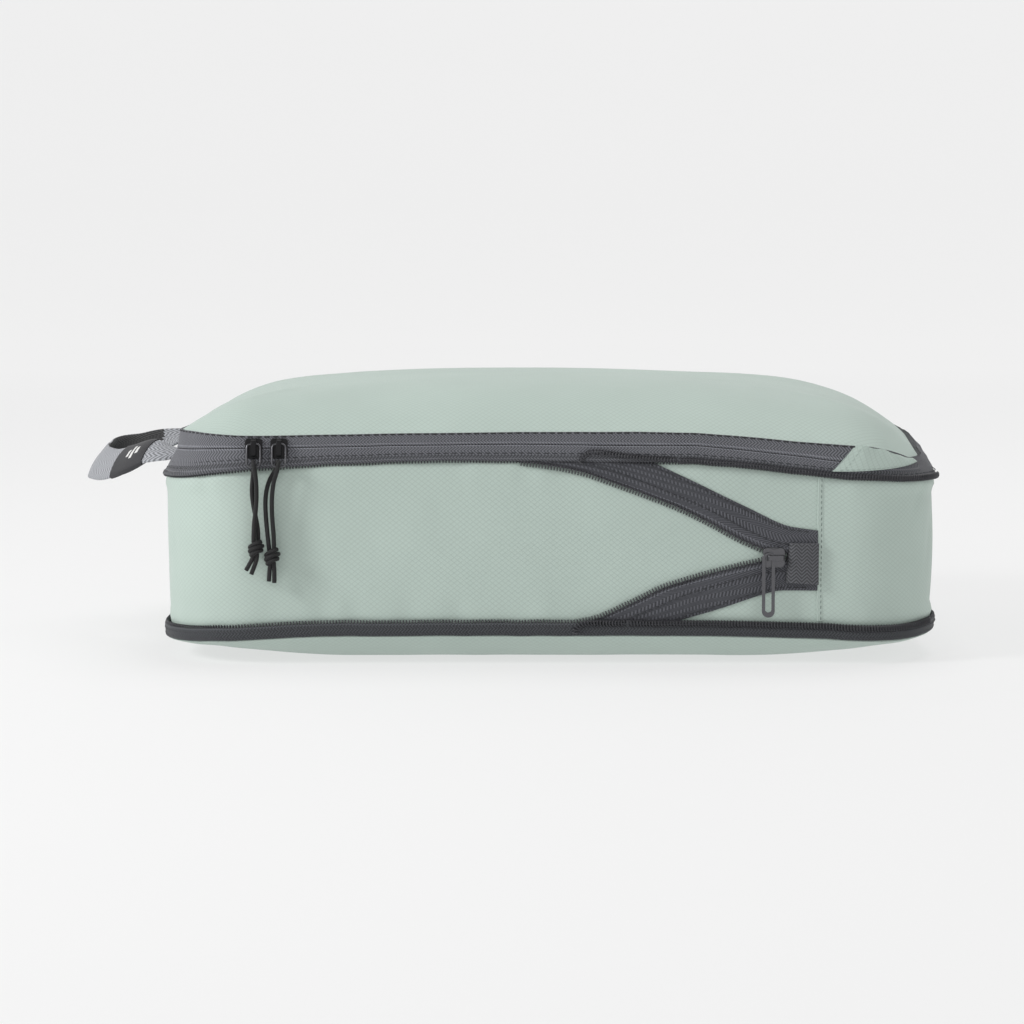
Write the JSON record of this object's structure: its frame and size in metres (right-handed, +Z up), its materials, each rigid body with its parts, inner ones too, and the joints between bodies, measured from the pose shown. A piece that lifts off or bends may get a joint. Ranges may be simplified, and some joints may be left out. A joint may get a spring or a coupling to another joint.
{
  "type": "compression packing cube",
  "caption": "Soft zipped packing cube with a domed flip-open lid, a compression zip round its wall and a webbing end handle.",
  "frame": {"origin": "centre of the flat bottom face", "axes": "+X along the length, away from the handle; -Y towards the front with the sliders; +Z up"},
  "size_m": [0.4196, 0.2573, 0.1295],
  "materials": {
    "ripstop": "mint diamond ripstop nylon with a soft sheen",
    "binding": "woven seam binding",
    "main_tape": "smooth woven face of a reverse coil zip",
    "zip_tape": "woven zip tape",
    "zip_coil": "nylon coil",
    "black_slider": "black lacquer",
    "gunmetal": "dark nickel plating",
    "black_cord": "braided polyester cord",
    "grosgrain": "herringbone grosgrain",
    "webbing": "light grey herringbone webbing",
    "label": "dark woven sleeve"
  },
  "bodies": {
    "base": {"bottom_panel": "ripstop", "side_wall": "ripstop", "end_wall": "ripstop", "wall_seam_front": "ripstop", "wall_seam_rear": "ripstop", "lower_binding": "binding", "lower_compression_tape": "zip_tape", "lower_compression_coil": "zip_coil", "upper_diagonal_tape": "zip_tape", "lower_diagonal_tape": "zip_tape", "upper_diagonal_coil": "zip_coil", "lower_diagonal_coil": "zip_coil"},
    "top_rim": {"upper_compression_tape": "zip_tape", "upper_compression_coil": "zip_coil", "upper_seam": "ripstop", "upper_binding": "binding", "main_zip_lower_tape": "main_tape", "main_zip_lower_coil": "zip_coil", "lid_hinge_strip": "ripstop", "zip_end_patch_front": "ripstop", "zip_end_patch_rear": "ripstop", "handle_anchors": "webbing"},
    "lid": {"top_panel": "ripstop", "main_zip_upper_tape": "main_tape", "main_zip_upper_coil": "zip_coil", "lid_binding": "binding"},
    "gusset_middle": {"slider_garage_tab": "grosgrain"},
    "compression_slider": {"compression_slider_body": "gunmetal", "compression_slider_crown": "gunmetal"},
    "compression_pull": {"compression_pull": "gunmetal"},
    "slider_left": {"slider_left_body": "black_slider", "slider_left_crown": "black_slider"},
    "slider_right": {"slider_right_body": "black_slider", "slider_right_crown": "black_slider"},
    "ring_left": {"ring_left": "gunmetal"},
    "ring_right": {"ring_right": "gunmetal"},
    "cord_left": {"cord_left": "black_cord", "knot_left": "black_cord"},
    "cord_right": {"cord_right": "black_cord", "knot_right": "black_cord"},
    "handle": {"handle_strap": "webbing", "handle_label": "label"}
  },
  "joints": [
    {"name": "compress", "type": "slide", "parent": "base", "child": "top_rim", "axis": [0, 0, -1], "range_m": [0, 0.064], "deforming": ["side_wall", "end_wall", "wall_seam_front", "wall_seam_rear", "upper_diagonal_tape", "lower_diagonal_tape", "upper_diagonal_coil", "lower_diagonal_coil"]},
    {"name": "gusset_drop", "type": "slide", "parent": "base", "child": "gusset_middle", "axis": [0, 0, -1], "range_m": [0, 0.0275]},
    {"name": "compression_slider_run", "type": "slide", "parent": "gusset_middle", "child": "compression_slider", "axis": [-1, 0, 0], "range_m": [0, 0.0802]},
    {"name": "compression_pull_swing", "type": "hinge", "parent": "compression_slider", "child": "compression_pull", "pos_m": [0.1019, -0.1272, 0.051], "axis": [0, 1, 0], "range_deg": [-45, 70]},
    {"name": "lid_hinge", "type": "hinge", "parent": "top_rim", "child": "lid", "pos_m": [0.1865, 0, 0.1022], "axis": [0, 1, 0], "range_deg": [0, 150]},
    {"name": "slider_left_round_corner", "type": "hinge", "parent": "top_rim", "child": "slider_left", "pos_m": [-0.1395, -0.079, 0.102], "axis": [0, 0, -1], "range_deg": [0, 90]},
    {"name": "slider_right_run", "type": "slide", "parent": "top_rim", "child": "slider_right", "axis": [1, 0, 0], "range_m": [0, 0.215]},
    {"name": "ring_left_lift", "type": "hinge", "parent": "slider_left", "child": "ring_left", "pos_m": [-0.138, -0.1263, 0.1042], "axis": [-1, 0, 0], "range_deg": [0, 100]},
    {"name": "ring_right_lift", "type": "hinge", "parent": "slider_right", "child": "ring_right", "pos_m": [-0.1262, -0.1263, 0.1042], "axis": [-1, 0, 0], "range_deg": [0, 100]},
    {"name": "cord_left_swing", "type": "hinge", "parent": "ring_left", "child": "cord_left", "pos_m": [-0.138, -0.12865, 0.0938], "axis": [0, 1, 0], "range_deg": [0, 35]},
    {"name": "cord_right_swing", "type": "hinge", "parent": "ring_right", "child": "cord_right", "pos_m": [-0.1262, -0.12865, 0.0938], "axis": [0, 1, 0], "range_deg": [-35, 0]},
    {"name": "handle_flop", "type": "hinge", "parent": "top_rim", "child": "handle", "pos_m": [-0.1882, 0, 0.0985], "axis": [0, 1, 0], "range_deg": [-40, 55]}
  ],
  "couplings": [
    {"joint": "gusset_drop", "follows": "compress", "ratio": 0.42812},
    {"joint": "compression_slider_run", "follows": "compress", "ratio": 1.25}
  ]
}
